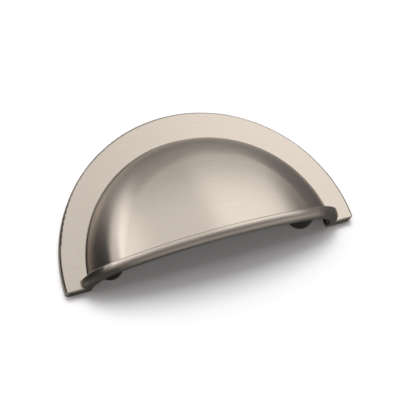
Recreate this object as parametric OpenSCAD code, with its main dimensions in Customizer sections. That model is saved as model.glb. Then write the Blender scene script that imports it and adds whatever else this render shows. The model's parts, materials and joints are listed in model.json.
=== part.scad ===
// Cup pull for a drawer: one metal casting. A half-round flange lies flat on the drawer front, a hollow
// cup stands on it, and an arched lip closes the cup's edge where the fingers go in. Millimetres.
// X runs along the length, +Y towards the round side, +Z out of the drawer front. The back is at z = 0.
// The origin is on the back, midway between the two screw holes.

/* [Flange] */
// Distance between the two screw holes
hole_spacing = 64; // [50:0.5:128]
// Distance from a screw hole to the end of the flange
end_overhang = 16; // [14:0.1:24]
// Thickness of the flange
flange_thickness = 3.5; // [2.5:0.1:5]
// Rounding of the upper outer edge
flange_edge_radius = 0.7; // [0.2:0.1:1.5]
// Rounding of the upper edge of the two straight ends
flange_end_radius = 0.6; // [0.2:0.1:1.2]
// Rounding of the two corners, seen from the front
flange_corner_radius = 1.2; // [0.4:0.1:2]

/* [Cup] */
// Width of the flange beside the cup
rim_width = 7.5; // [5:0.1:10]
// How far the cup's centre lies in front of the flange's centre
cup_centre_offset = 1.7; // [0:0.1:3]
// Height of the cup at its centre, over the back
cup_height = 21.7; // [19:0.1:26]
// Radius of the cup's shoulder
cup_shoulder_radius = 15.86; // [10:0.01:17]
// Height where the wall starts to lean in
cup_springing_height = 1.36; // [0.5:0.01:3]
// Thickness of the cup's wall at the crown
cup_wall = 1.8; // [1.4:0.1:3]
// Thickness of the cup's wall at the back
cup_wall_foot = 0.7; // [0.5:0.1:1.4]
// Fillet between cup and flange
crease_fillet = 0.6; // [0.2:0.1:1.2]

/* [Lip] */
// How far a foot of the arch stands outside the cup
lip_overhang = 2.6; // [2:0.1:4]
// How far the arch rises over the cup
lip_rise = 0.5; // [0.2:0.1:1]
// Radius of the arch's shoulders
lip_shoulder_radius = 15.6; // [10:0.1:17]
// Height where the arch leaves the upright
lip_springing_height = 1.6; // [0.5:0.1:3]
// Thickness of the lip, across the arch
lip_thickness = 3.8; // [2.8:0.1:5]
// Depth of the lip, from front to back
lip_depth = 3; // [2.4:0.1:4]
// Rounding of the lip's outer front edge
lip_front_radius = 2.1; // [0.3:0.1:2.1]
// Rounding of the lip's inner front edge
lip_inner_radius = 0.6; // [0.2:0.1:1.2]
// Rounding of the lip's outer back edge
lip_back_radius = 0.4; // [0.1:0.1:1]

/* [Screw bosses] */
// Distance from the straight front to the holes
hole_setback = 6; // [5:0.1:9]
// Diameter of a boss
boss_diameter = 8.8; // [6:0.1:10]
// Diameter of the hole, before its thread
hole_diameter = 3.3; // [2.5:0.1:4.2]
// Depth of the hole, without its tip
hole_depth = 9; // [6:0.5:10]

/* [Hidden] */
$fa = 2;
$fs = 0.2;
flange_radius = hole_spacing / 2 + end_overhang;
cup_radius = flange_radius - rim_width;
lip_half = cup_radius + lip_overhang;
lip_height = cup_height + lip_rise;
// The cup ends halfway into the lip
cup_front = lip_depth / 2;
// Full angle of a drill's point
hole_tip_angle = 118;
hole_tip = hole_diameter / 2 / tan(hole_tip_angle / 2);
// Spare length of bodies that only cut
spare = 1;
reach = 2 * flange_radius;
// Length of the line that parts a crown arc from a shoulder arc
seam_length = 125;
// Overlap that lets two touching arcs cross cleanly
touch = 0.0005;

// Radius of the crown arc that runs smoothly into a shoulder arc
function crown_radius(half, height, shoulder, spring) =
    let (across = half - shoulder)
    let (rise = height - spring)
    (across * across + rise * rise - shoulder * shoulder) / (2 * (rise - shoulder));

// Unit vector from the crown's centre to the right shoulder's centre
function seam(half, height, shoulder, spring) =
    let (crown = crown_radius(half, height, shoulder, spring))
    let (across = half - shoulder)
    [across, spring - height + crown] / (crown - shoulder);

// Quarter disc at a centre, in the quadrant of two signs
module quarter(centre, radius, side) {
    translate(centre)
        intersection() {
            circle(radius);
            translate([side[0] < 0 ? -radius - spare : 0, side[1] < 0 ? -radius - spare : 0])
                square(radius + spare);
        }
}

// Everything above the seams of an arch, seen from the crown's centre
module crown_wedge(low, way) {
    out = seam_length * way[0];
    up = low + seam_length * way[1];
    polygon([[0, low], [out, up], [0, low + 2 * seam_length], [-out, up]]);
}

// Half of a three-centred arch, filled from the axis and down to a base line
module half_arch(half, height, shoulder, spring, base) {
    crown = crown_radius(half, height, shoulder, spring);
    low = height - crown;
    across = half - shoulder;
    way = seam(half, height, shoulder, spring);
    intersection() {
        union() {
            intersection() {
                translate([0, low])
                    circle(crown);
                crown_wedge(low, way);
            }
            quarter([across, spring], shoulder + touch, [1, 1]);
            difference() {
                translate([0, base - spare])
                    square([half + touch, spring - base + spare]);
                crown_wedge(low, way);
            }
        }
        translate([0, base])
            square([half + spare, height - base + spare]);
    }
}

// What the rounding takes off the flange's right corner
module corner_waste() {
    ease = flange_corner_radius / 4;
    inset = flange_corner_radius + ease;
    translate([0, 0, -spare])
        linear_extrude(flange_thickness + 2 * spare)
            difference() {
                translate([flange_radius - inset, -spare])
                    square(inset + spare);
                translate([flange_radius - inset, inset])
                    circle(sqrt(ease * ease + inset * inset));
            }
}

// Rounded disc, kept behind a straight front whose upper edge and corners are rounded too
module flange_plate() {
    edge = flange_edge_radius;
    end = flange_end_radius;
    top = flange_thickness;
    difference() {
        intersection() {
            rotate_extrude()
                union() {
                    polygon([
                        [0, 0],
                        [flange_radius, 0],
                        [flange_radius, top - edge],
                        [flange_radius - edge, top - edge],
                        [flange_radius - edge, top],
                        [0, top]
                    ]);
                    quarter([flange_radius - edge, top - edge], edge, [1, 1]);
                }
            translate([-reach, 0, 0])
                rotate([90, 0, 90])
                    linear_extrude(2 * reach)
                        union() {
                            polygon([
                                [0, -spare],
                                [reach, -spare],
                                [reach, top],
                                [end, top],
                                [end, top - end],
                                [0, top - end]
                            ]);
                            quarter([end, top - end], end, [-1, 1]);
                        }
        }
        for (side = [-1, 1])
            scale([side, 1, 1])
                corner_waste();
    }
}

// Fillet between the cup's shoulder arc and the top of the flange, as a section
module crease_section() {
    top = flange_thickness;
    across = cup_radius - cup_shoulder_radius;
    rise = top + crease_fillet - cup_springing_height;
    span = cup_shoulder_radius + crease_fillet - touch;
    out = across + sqrt(span * span - rise * rise);
    difference() {
        polygon([
            [across, cup_springing_height],
            [out, top + crease_fillet],
            [out, top / 2],
            [across, top / 2]
        ]);
        translate([out, top + crease_fillet])
            circle(crease_fillet);
    }
}

// The cup as a full body, with its fillet to the flange, cut off inside the lip
module cup_body() {
    intersection() {
        translate([0, -cup_centre_offset, 0])
            rotate_extrude()
                union() {
                    half_arch(
                        cup_radius,
                        cup_height,
                        cup_shoulder_radius,
                        cup_springing_height,
                        flange_thickness / 2
                    );
                    crease_section();
                }
        translate([-reach, cup_front, -spare])
            cube([2 * reach, reach, reach]);
    }
}

// A body of the cup's form, set in from its surface and sunk into the flange
module cup_inside(inset, sink) {
    translate([0, -cup_centre_offset, -sink])
        rotate_extrude()
            half_arch(
                cup_radius - inset,
                cup_height - inset,
                cup_shoulder_radius - inset,
                cup_springing_height,
                -spare
            );
}

// Section of the lip at a radius, front at zero
module lip_section(radius) {
    inner = radius - lip_thickness;
    polygon([
        [inner, -lip_depth],
        [radius - lip_back_radius, -lip_depth],
        [radius - lip_back_radius, lip_back_radius - lip_depth],
        [radius, lip_back_radius - lip_depth],
        [radius, -lip_front_radius],
        [radius - lip_front_radius, -lip_front_radius],
        [radius - lip_front_radius, 0],
        [inner + lip_inner_radius, 0],
        [inner + lip_inner_radius, -lip_inner_radius],
        [inner, -lip_inner_radius]
    ]);
    quarter([radius - lip_back_radius, lip_back_radius - lip_depth], lip_back_radius, [1, -1]);
    quarter([radius - lip_front_radius, -lip_front_radius], lip_front_radius, [1, 1]);
    quarter([inner + lip_inner_radius, -lip_inner_radius], lip_inner_radius, [-1, 1]);
}

// The arched lip: a crown arc between two shoulder arcs, on straight feet that reach the back
module lip() {
    shoulder = lip_shoulder_radius;
    spring = lip_springing_height;
    across = lip_half - shoulder;
    crown = crown_radius(lip_half, lip_height, shoulder, spring);
    low = lip_height - crown;
    way = seam(lip_half, lip_height, shoulder, spring);
    rotate([90, 0, 0])
        union() {
            intersection() {
                translate([0, low, 0])
                    rotate_extrude()
                        lip_section(crown);
                translate([0, 0, -lip_depth - spare])
                    linear_extrude(lip_depth + 2 * spare)
                        crown_wedge(low, way);
            }
            for (side = [-1, 1])
                intersection() {
                    translate([side * across, spring, 0])
                        rotate_extrude()
                            lip_section(shoulder);
                    translate([0, 0, -lip_depth - spare])
                        linear_extrude(lip_depth + 2 * spare)
                            difference() {
                                translate([side < 0 ? -reach : 0, spring])
                                    square(reach);
                                crown_wedge(low, way);
                            }
                }
            for (side = [-1, 1])
                scale([side, 1, 1])
                    translate([across, spring, 0])
                        rotate([90, 0, 0])
                            linear_extrude(spring)
                                lip_section(shoulder);
        }
}

// The opening in the front, out to the middle of the lip's flat front
module mouth() {
    inset = (lip_thickness + lip_front_radius - lip_inner_radius) / 2;
    rotate([90, 0, 0])
        translate([0, 0, -cup_front])
            linear_extrude(cup_front + spare)
                for (side = [-1, 1])
                    scale([side, 1, 1])
                        half_arch(
                            lip_half - inset,
                            lip_height - inset,
                            lip_shoulder_radius - inset,
                            lip_springing_height,
                            -spare
                        );
}

// Two bosses from the back up into the cup's wall
module bosses() {
    intersection() {
        for (side = [-1, 1])
            translate([side * hole_spacing / 2, hole_setback, 0])
                cylinder(d = boss_diameter, h = cup_height);
        cup_inside(cup_wall_foot / 2, (cup_wall - cup_wall_foot) / 2);
    }
}

// Blind screw holes with a drill's point
module holes() {
    for (side = [-1, 1])
        translate([side * hole_spacing / 2, hole_setback, 0]) {
            translate([0, 0, -spare])
                cylinder(d = hole_diameter, h = hole_depth + spare);
            translate([0, 0, hole_depth])
                cylinder(d1 = hole_diameter, d2 = 0, h = hole_tip);
        }
}

module cup_pull() {
    color([0.72, 0.69, 0.65])
        translate([0, -hole_setback, 0])
            difference() {
                union() {
                    difference() {
                        union() {
                            flange_plate();
                            cup_body();
                        }
                        cup_inside(cup_wall_foot, cup_wall - cup_wall_foot);
                        mouth();
                    }
                    lip();
                    bosses();
                }
                holes();
            }
}

cup_pull();
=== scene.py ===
import json
import math

import bpy
from mathutils import Matrix, Vector
from mathutils.kdtree import KDTree


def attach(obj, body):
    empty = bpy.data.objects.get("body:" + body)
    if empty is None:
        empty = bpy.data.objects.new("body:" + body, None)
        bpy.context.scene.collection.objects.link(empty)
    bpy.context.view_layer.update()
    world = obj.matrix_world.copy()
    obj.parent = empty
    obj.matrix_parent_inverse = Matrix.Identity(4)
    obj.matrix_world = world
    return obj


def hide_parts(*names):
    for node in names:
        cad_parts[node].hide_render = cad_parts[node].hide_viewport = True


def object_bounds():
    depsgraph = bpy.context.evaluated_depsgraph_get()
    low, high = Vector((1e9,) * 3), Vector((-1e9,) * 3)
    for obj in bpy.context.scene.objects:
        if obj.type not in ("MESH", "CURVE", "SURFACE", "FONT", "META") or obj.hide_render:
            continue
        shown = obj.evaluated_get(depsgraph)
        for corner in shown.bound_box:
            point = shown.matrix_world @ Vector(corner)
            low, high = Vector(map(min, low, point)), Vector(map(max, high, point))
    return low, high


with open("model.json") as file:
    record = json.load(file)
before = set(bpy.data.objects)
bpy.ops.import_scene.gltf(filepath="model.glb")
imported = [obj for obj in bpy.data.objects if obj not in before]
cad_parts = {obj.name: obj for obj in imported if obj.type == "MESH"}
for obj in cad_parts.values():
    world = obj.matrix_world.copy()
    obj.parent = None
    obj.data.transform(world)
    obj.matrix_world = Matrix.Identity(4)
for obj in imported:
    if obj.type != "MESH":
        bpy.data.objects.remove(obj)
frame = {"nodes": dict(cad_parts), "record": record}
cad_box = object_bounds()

scene = bpy.context.scene
scene.view_settings.view_transform = "Standard"

# The outside of the cup pull: a zinc die casting, plated with nickel, brushed along its length, left satin.
# The fine scratches spread each highlight across the brushing.
# The cup's colour is painted darker towards its foot, down into the crease between cup and flange: painted
# shade.
nickel = bpy.data.materials.new("brushed_nickel")
nickel.use_nodes = True
plating = nickel.node_tree


def node(tree, kind, feeds=None, **settings):
    made = tree.nodes.new(kind)
    for name, setting in settings.items():
        setattr(made, name, setting)
    for socket, feed in (feeds or {}).items():
        if isinstance(feed, bpy.types.NodeSocket):
            tree.links.new(feed, made.inputs[socket])
        else:
            made.inputs[socket].default_value = feed
    return made


def worked_out(tree, operation, *terms, clamp=False):
    feeds = dict(enumerate(terms))
    return node(tree, "ShaderNodeMath", feeds, operation=operation, use_clamp=clamp).outputs["Value"]


def blended(tree, share, first, second):
    return node(tree, "ShaderNodeMix", {0: share, 6: first, 7: second}, data_type="RGBA").outputs[2]


def ranged(tree, value, limits):
    return node(tree, "ShaderNodeMapRange", {"Value": value, **limits}).outputs["Result"]


place = node(plating, "ShaderNodeTexCoord").outputs
spot = node(plating, "ShaderNodeSeparateXYZ", {"Vector": place["Object"]}).outputs
facing = node(plating, "ShaderNodeSeparateXYZ", {"Vector": place["Normal"]}).outputs

streaks_per_metre = (80.0, 4600.0, 900.0)
brushing = node(plating, "ShaderNodeMapping", {"Vector": place["Object"], "Scale": streaks_per_metre})
stretched = brushing.outputs["Vector"]
noise = node(plating, "ShaderNodeTexNoise", {"Vector": stretched, "Scale": 1.0, "Detail": 3.0})
streak = noise.outputs["Fac"]
scratch = ranged(plating, streak, {"From Min": 0.18, "From Max": 0.82})
brushed_roughness = ranged(plating, scratch, {"To Min": 0.285, "To Max": 0.335})
dark_streak = (0.53, 0.468, 0.408, 1.0)
light_streak = (0.63, 0.563, 0.495, 1.0)
streaked = blended(plating, scratch, dark_streak, light_streak)
scratch_depth = 0.00001
scratched = node(plating, "ShaderNodeBump", {"Strength": 0.25, "Distance": scratch_depth, "Height": streak})
normal_and_length = {0: place["Normal"], 1: (1.0, 0.0, 0.0)}
across = node(plating, "ShaderNodeVectorMath", normal_and_length, operation="CROSS_PRODUCT")

# Painted shade in the crease: the cup's colour is darkened from 7.5 mm high down to the flange top, to 0.45
# of its colour at the foot. The flange and the lip are left out of it.
flange_top = 0.0035
above_flange = flange_top + 0.00003
painted_shade_top = 0.0075
crease_shade = 0.45
lip_back = -0.003
up_the_cup = {"From Min": flange_top, "From Max": painted_shade_top, "To Min": crease_shade}
on_flange = worked_out(plating, "LESS_THAN", spot["Z"], above_flange)
on_lip = worked_out(plating, "LESS_THAN", spot["Y"], lip_back)
free_of_painted_shade = worked_out(plating, "MAXIMUM", on_flange, on_lip)
painted_shade_share = worked_out(plating, "MAXIMUM", ranged(plating, spot["Z"], up_the_cup), free_of_painted_shade)
streaked_and_shaded_colour = node(plating, "ShaderNodeVectorMath", {0: streaked, "Scale": painted_shade_share}, operation="SCALE")

# The hollow side, the two bosses and the screw holes: the same casting and plating as it left the mould. They
# are not brushed, and their colour is painted far darker than the plating: partly the duller cast finish,
# partly painted shade under the lip. What faces down, and what lies close to the hole axes, belongs to them.
screw_holes = next(mount for mount in frame["record"]["mounts"] if mount["name"] == "screw_holes")["dims"]
hole_spacing = screw_holes["spacing_x_mm"] / 1000
hole_radius = screw_holes["hole_r_mm"] / 1000
hole_depth = 0.009
boss_zone = 0.0046
hole_zone = 0.0021
hole_zone_top = 0.0102
upright_limit = 0.3
down_limit = -0.02
side = worked_out(plating, "SIGN", spot["X"])
from_axis = worked_out(plating, "MULTIPLY_ADD", side, -hole_spacing / 2, spot["X"])
arm = node(plating, "ShaderNodeCombineXYZ", {"X": from_axis, "Y": spot["Y"]}).outputs["Vector"]
reach = node(plating, "ShaderNodeVectorMath", {0: arm}, operation="LENGTH").outputs["Value"]
near_axis = worked_out(plating, "LESS_THAN", reach, boss_zone)
upright = worked_out(plating, "LESS_THAN", facing["Z"], upright_limit)
on_boss = worked_out(plating, "MULTIPLY", near_axis, upright)
in_bore = worked_out(plating, "LESS_THAN", reach, hole_zone)
below_tip = worked_out(plating, "LESS_THAN", spot["Z"], hole_zone_top)
in_hole = worked_out(plating, "MULTIPLY", in_bore, below_tip)
faces_down = worked_out(plating, "LESS_THAN", facing["Z"], down_limit)
boss_or_hole = worked_out(plating, "MAXIMUM", on_boss, in_hole)
as_cast_and_shaded = worked_out(plating, "MAXIMUM", faces_down, boss_or_hole)
# Painted shade: this cast colour is far darker than nickel and stands in for the shade in the hollow and
# under the lip.
shaded_cast_colour = (0.15, 0.131, 0.115, 1.0)
cast_roughness = 0.32
roughness = node(plating, "ShaderNodeMix", {0: as_cast_and_shaded, 2: brushed_roughness, 3: cast_roughness}).outputs[0]
colour = blended(plating, as_cast_and_shaded, streaked_and_shaded_colour.outputs["Vector"], shaded_cast_colour)
metal = plating.nodes["Principled BSDF"].inputs
metal["Metallic"].default_value = 1.0
metal["Anisotropic"].default_value = 0.85
plating.links.new(across.outputs["Vector"], metal["Tangent"])
plating.links.new(scratched.outputs["Normal"], metal["Normal"])
plating.links.new(roughness, metal["Roughness"])
plating.links.new(colour, metal["Base Color"])

# The M4 thread, cut with a tap into both holes of the casting: right-handed, crests at the drilled 3.3 mm and
# roots at about 4 mm. It starts with a short lead-in at the back and runs out before the drilled tip.
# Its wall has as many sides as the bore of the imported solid, so that the two meet point for point.
cast = frame["nodes"]["cup_pull"].data
same_point = 1e-6
on_surface = 1e-5


def on_bore(co):
    return abs(math.hypot(abs(co.x) - hole_spacing / 2, co.y) - hole_radius) < on_surface


bore_rim = {tuple(v.co) for v in cast.vertices if v.co.x > 0 and v.co.z < same_point and on_bore(v.co)}
thread_inputs = {
    "Pitch": 0.0007,
    "Depth": 0.00036,
    "Lead-in": 0.0004,
    "Run-out": 0.0006,
    "Thread End": 0.0078,
    "Hole Radius": hole_radius,
    "Hole Depth": hole_depth,
    "Hole Spacing": hole_spacing,
    "Sides": len(bore_rim),
    "Rings": 128,
    "Metal": nickel,
}
threader = bpy.data.node_groups.new("m4_thread", "GeometryNodeTree")
socket_kinds = {float: "NodeSocketFloat", int: "NodeSocketInt", bpy.types.Material: "NodeSocketMaterial"}
for label, given_value in thread_inputs.items():
    threader.interface.new_socket(label, in_out="INPUT", socket_type=socket_kinds[type(given_value)])
threader.interface.new_socket("Thread", in_out="OUTPUT", socket_type="NodeSocketGeometry")
given = node(threader, "NodeGroupInput").outputs
wall_sizes = {
    "Vertices": given["Sides"],
    "Side Segments": given["Rings"],
    "Radius": given["Hole Radius"],
    "Depth": given["Hole Depth"],
}
bore_wall = node(threader, "GeometryNodeMeshCylinder", wall_sizes, fill_type="NONE").outputs["Mesh"]
position = node(threader, "GeometryNodeInputPosition").outputs["Position"]
point = node(threader, "ShaderNodeSeparateXYZ", {"Vector": position}).outputs
depth_in = worked_out(threader, "MULTIPLY_ADD", given["Hole Depth"], 0.5, point["Z"])
angle = worked_out(threader, "ARCTAN2", point["Y"], point["X"])
pitches = worked_out(threader, "DIVIDE", depth_in, given["Pitch"])
helix = worked_out(threader, "FRACT", worked_out(threader, "MULTIPLY_ADD", angle, -1.0 / math.tau, pitches))
flank = worked_out(threader, "ABSOLUTE", worked_out(threader, "MULTIPLY_ADD", helix, 2.0, -1.0))
root_flat = 1 / 8
crest_flat = 1 / 4
slope = 1 / (1 - crest_flat - root_flat)
profile = worked_out(threader, "MULTIPLY_ADD", flank, -slope, slope * (1 - crest_flat), clamp=True)
lead_in = worked_out(threader, "DIVIDE", depth_in, given["Lead-in"], clamp=True)
to_end = worked_out(threader, "SUBTRACT", given["Thread End"], depth_in)
run_out = worked_out(threader, "DIVIDE", to_end, given["Run-out"], clamp=True)
cut = worked_out(threader, "MULTIPLY", profile, worked_out(threader, "MULTIPLY", lead_in, run_out))
cut_radius = worked_out(threader, "MULTIPLY_ADD", cut, given["Depth"], given["Hole Radius"])
stretch = worked_out(threader, "DIVIDE", cut_radius, given["Hole Radius"])
cut_point = {
    "X": worked_out(threader, "MULTIPLY", point["X"], stretch),
    "Y": worked_out(threader, "MULTIPLY", point["Y"], stretch),
    "Z": depth_in,
}
moved = node(threader, "ShaderNodeCombineXYZ", cut_point).outputs["Vector"]
shaped = node(threader, "GeometryNodeSetPosition", {"Geometry": bore_wall, "Position": moved})
inward = node(threader, "GeometryNodeFlipFaces", {"Mesh": shaped.outputs["Geometry"]}).outputs["Mesh"]
axis_x = [worked_out(threader, "MULTIPLY", given["Hole Spacing"], half) for half in (-0.5, 0.5)]
left_axis, right_axis = (node(threader, "ShaderNodeCombineXYZ", {"X": x}).outputs["Vector"] for x in axis_x)
axis_ends = {"Count": 2, "Start Location": left_axis, "Offset": right_axis}
axes = node(threader, "GeometryNodeMeshLine", axis_ends, mode="END_POINTS").outputs["Mesh"]
both = node(threader, "GeometryNodeInstanceOnPoints", {"Points": axes, "Instance": inward})
real = node(threader, "GeometryNodeRealizeInstances", {"Geometry": both.outputs["Instances"]})
to_plate = {"Geometry": real.outputs["Geometry"], "Material": given["Metal"]}
plated = node(threader, "GeometryNodeSetMaterial", to_plate)
node(threader, "NodeGroupOutput", {"Thread": plated.outputs["Geometry"]})
tap = bpy.data.objects.new("tap", bpy.data.meshes.new("tap"))
scene.collection.objects.link(tap)
threading = tap.modifiers.new("thread", "NODES")
threading.node_group = threader
for item in threader.interface.items_tree:
    if item.in_out == "INPUT":
        threading[item.identifier] = thread_inputs[item.name]
thread = bpy.data.meshes.new_from_object(tap.evaluated_get(bpy.context.evaluated_depsgraph_get()))
bpy.data.objects.remove(tap)

# The whole casting after tapping, with flange, hollow cup, arched lip and bosses in one piece of plated zinc.
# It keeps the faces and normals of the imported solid, with the threaded walls in place of the plain bores,
# merged into one closed shell. Two screws hold it from behind.
cast_count = len(cast.vertices)
points = [v.co for v in cast.vertices] + [v.co for v in thread.vertices]
finder = KDTree(len(points))
for i, co in enumerate(points):
    finder.insert(co, i)
finder.balance()
merged = [min(found for _, found, _ in finder.find_range(co, same_point)) for co in points]
bore_point = [on_bore(co) and co.z < hole_depth + on_surface for co in points]
by_angle = Vector((0.0, 0.0, 0.0))
faces, normals = [], []
for face in cast.polygons:
    corners = [merged[v] for v in face.vertices]
    if len(set(corners)) == 3 and not all(bore_point[v] for v in face.vertices):
        faces.append(corners)
        normals += [cast.corner_normals[i].vector for i in face.loop_indices]
for face in thread.polygons:
    faces.append([merged[cast_count + v] for v in face.vertices])
    normals += [by_angle] * len(face.vertices)
used = sorted({v for corners in faces for v in corners})
number = {v: i for i, v in enumerate(used)}
tapped = bpy.data.meshes.new("tapped_casting")
tapped.from_pydata([points[v] for v in used], [], [[number[v] for v in corners] for corners in faces])
tapped.shade_smooth()
for edge in tapped.edges:
    edge.use_edge_sharp = all(used[v] < cast_count and bore_point[used[v]] for v in edge.vertices)
tapped.normals_split_custom_set(normals)
tapped.materials.append(nickel)
tapped_casting = bpy.data.objects.new("tapped_casting", tapped)
scene.collection.objects.link(tapped_casting)
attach(tapped_casting, "root")
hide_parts("cup_pull")

# The floor: one plain sheet of matt white board, far larger than the picture.
# The casting lies on it with its back, a hair's breadth above.
floor_half = 6.0
floor_level = -0.00005
corner_ways = ((-1, -1), (1, -1), (1, 1), (-1, 1))
floor_corners = [(x * floor_half, y * floor_half, floor_level) for x, y in corner_ways]
floor_mesh = bpy.data.meshes.new("floor")
floor_mesh.from_pydata(floor_corners, [], [(0, 1, 2, 3)])
board = bpy.data.materials.new("white_board")
board.use_nodes = True
matt = board.node_tree.nodes["Principled BSDF"].inputs
matt["Base Color"].default_value = (0.93, 0.93, 0.935, 1.0)
matt["Roughness"].default_value = 1.0
matt["Specular IOR Level"].default_value = 0.0
floor_mesh.materials.append(board)
floor = bpy.data.objects.new("floor", floor_mesh)
scene.collection.objects.link(floor)

# The light: a wide soft box above and behind, brighter on the right, a tall panel at the left rear, and two
# lamps that light the board alone, from behind and, weakly, from the front.
# Each row: place, width and length, radiance, turns in degrees.
lamps = {
    "soft_box": ((0.205, 0.56, 1.0), (2.21, 1.08), 1.04, (0, 0, 0)),
    "right_box": ((0.80, 0.56, 0.96), (1.00, 1.08), 0.55, (0, 0, 0)),
    "left_box": ((-0.55, 0.45, 0.93), (0.55, 0.85), 0.26, (0, 0, 0)),
    "rear_panel": ((-1.088, 1.038, 1.1), (1.5, 1.5), 0.95, (-90, 0, 52)),
    "board_lamp": ((0.0, 0.47, 0.92), (0.42, 0.42), 11.6, (0, 0, 0)),
    "board_fill": ((0.0, -0.50, 0.45), (0.50, 0.30), 0.50, (48, 0, 0)),
}
for name, (lamp_place, (width, length), radiance, turns) in lamps.items():
    light = bpy.data.lights.new(name, "AREA")
    light.shape = "RECTANGLE"
    light.size = width
    light.size_y = length
    light.energy = radiance * width * length * math.pi
    lamp_object = bpy.data.objects.new(name, light)
    lamp_object.location = lamp_place
    lamp_object.rotation_euler = [math.radians(turn) for turn in turns]
    scene.collection.objects.link(lamp_object)
board_only = bpy.data.collections.new("board_only")
board_only.objects.link(floor)
for name in ("board_lamp", "board_fill"):
    bpy.data.objects[name].light_linking.receiver_collection = board_only
scene.world = bpy.data.worlds.new("studio")
scene.world.use_nodes = True
sky = scene.world.node_tree.nodes["Background"].inputs
sky["Color"].default_value = (1.0, 0.955, 0.93, 1.0)
sky["Strength"].default_value = 0.24

# Flags, which only the metal mirrors: painted reflections, glowing cards that are no lamps. A dark sheet
# under the casting, a ring of low cards that lean outwards, and a pale kerb beside the left side of the
# flange. All stand round the middle of the mouth.
# Each card row: turn from the rear in degrees, foot radius, foot glow, top radius, top height, top glow.
cards = [
    (-140, 0.0483, 0.05, 0.0620, 0.0320, 0.00),
    (-95, 0.0483, 0.05, 0.0590, 0.0265, 0.00),
    (-80, 0.0483, 0.06, 0.0585, 0.0240, 0.00),
    (-60, 0.0483, 0.11, 0.0600, 0.0230, 0.12),
    (-40, 0.0483, 0.20, 0.0720, 0.0220, 0.55),
    (-20, 0.0483, 0.18, 0.0903, 0.0330, 0.52),
    (20, 0.0483, 0.22, 0.0927, 0.0370, 0.46),
    (40, 0.0483, 0.34, 0.0987, 0.0420, 0.34),
    (60, 0.0483, 0.22, 0.1023, 0.0450, 0.22),
    (105, 0.0486, 0.04, 0.1026, 0.0450, 0.22),
    (125, 0.0486, 0.27, 0.1000, 0.0500, 1.00),
    (180, 0.0486, 0.30, 0.0966, 0.0450, 0.80),
    (205, 0.0486, 0.24, 0.0966, 0.0400, 0.60),
    (220, 0.0483, 0.05, 0.0620, 0.0320, 0.00),
]
first_turn = cards[0][0]
turn_step = 3
turn_count = (cards[-1][0] - first_turn) // turn_step + 1
mouth_y = cad_box[0][1]
sheet_level = 0.0002
sheet_middle = 0.0001
sheet_glow = 0.04
kerb_last_turn = -50
kerb_count = (kerb_last_turn - first_turn) // turn_step + 1
kerb_foot = 0.04815
kerb_top = 0.0483
kerb_height = 0.0022
kerb_glow = 0.45
flag_points, flag_faces, flag_glow = [], [], []


def flag_point(turn, radius, height, glow):
    way = math.radians(turn)
    flag_points.append((radius * math.sin(way), mouth_y + radius * math.cos(way), height))
    flag_glow.append(glow)


for i in range(turn_count):
    turn = first_turn + turn_step * i
    before, after = next(pair for pair in zip(cards, cards[1:]) if turn <= pair[1][0])
    share = (turn - before[0]) / (after[0] - before[0])
    foot, foot_glow, top, top_height, top_glow = (x + (y - x) * share for x, y in zip(before[1:], after[1:]))
    flag_point(turn, sheet_middle, sheet_level, sheet_glow)
    flag_point(turn, foot, sheet_level, foot_glow)
    flag_point(turn, top, top_height, top_glow)
    if i:
        flag_faces += [tuple(3 * i + k + corner for corner in (-3, 0, 1, -2)) for k in (0, 1)]
kerb_start = len(flag_points)
for i in range(kerb_count):
    turn = first_turn + turn_step * i
    flag_point(turn, kerb_foot, sheet_level, kerb_glow)
    flag_point(turn, kerb_top, kerb_height, kerb_glow)
    if i:
        flag_faces.append(tuple(kerb_start + 2 * i + corner for corner in (-2, 0, 1, -1)))
flag_mesh = bpy.data.meshes.new("flags")
flag_mesh.from_pydata(flag_points, [], flag_faces)
flag_mesh.attributes.new("glow", "FLOAT", "POINT").data.foreach_set("value", flag_glow)
card = bpy.data.materials.new("flag_card")
card.use_nodes = True
card.node_tree.nodes.clear()
painted = node(card.node_tree, "ShaderNodeAttribute", attribute_name="glow").outputs["Fac"]
shine = node(card.node_tree, "ShaderNodeEmission", {"Strength": painted}).outputs["Emission"]
node(card.node_tree, "ShaderNodeOutputMaterial", {"Surface": shine})
flag_mesh.materials.append(card)
flags = bpy.data.objects.new("flags", flag_mesh)
flags.visible_camera = False
flags.visible_diffuse = False
flags.visible_shadow = False
flags.visible_transmission = False
scene.collection.objects.link(flags)

# The camera: a long lens above the left front corner, about half a metre from the casting.
# It is rolled so that the mouth rises to the right.
camera = bpy.data.objects.new("camera", bpy.data.cameras.new("camera"))
scene.collection.objects.link(camera)
scene.camera = camera
azimuth, elevation, roll = (math.radians(degrees) for degrees in (-47.30, 66.50, 30.27))
aim = Vector((0.00116, 0.01182, 0.00502))
distance = 0.526
focal_pixels = 1689.3
picture_pixels = 400.0
sensor_width = 36.0
flat = math.cos(elevation)
back = Vector((math.sin(azimuth) * flat, -math.cos(azimuth) * flat, math.sin(elevation)))
level = Vector((0, 0, 1)).cross(back).normalized()
upward = back.cross(level)
right = level * math.cos(roll) + upward * math.sin(roll)
up = upward * math.cos(roll) - level * math.sin(roll)
turned = Matrix((right, up, back)).transposed().to_4x4()
camera.matrix_world = Matrix.Translation(aim + back * distance) @ turned
camera.data.sensor_width = sensor_width
camera.data.lens = focal_pixels * sensor_width / picture_pixels
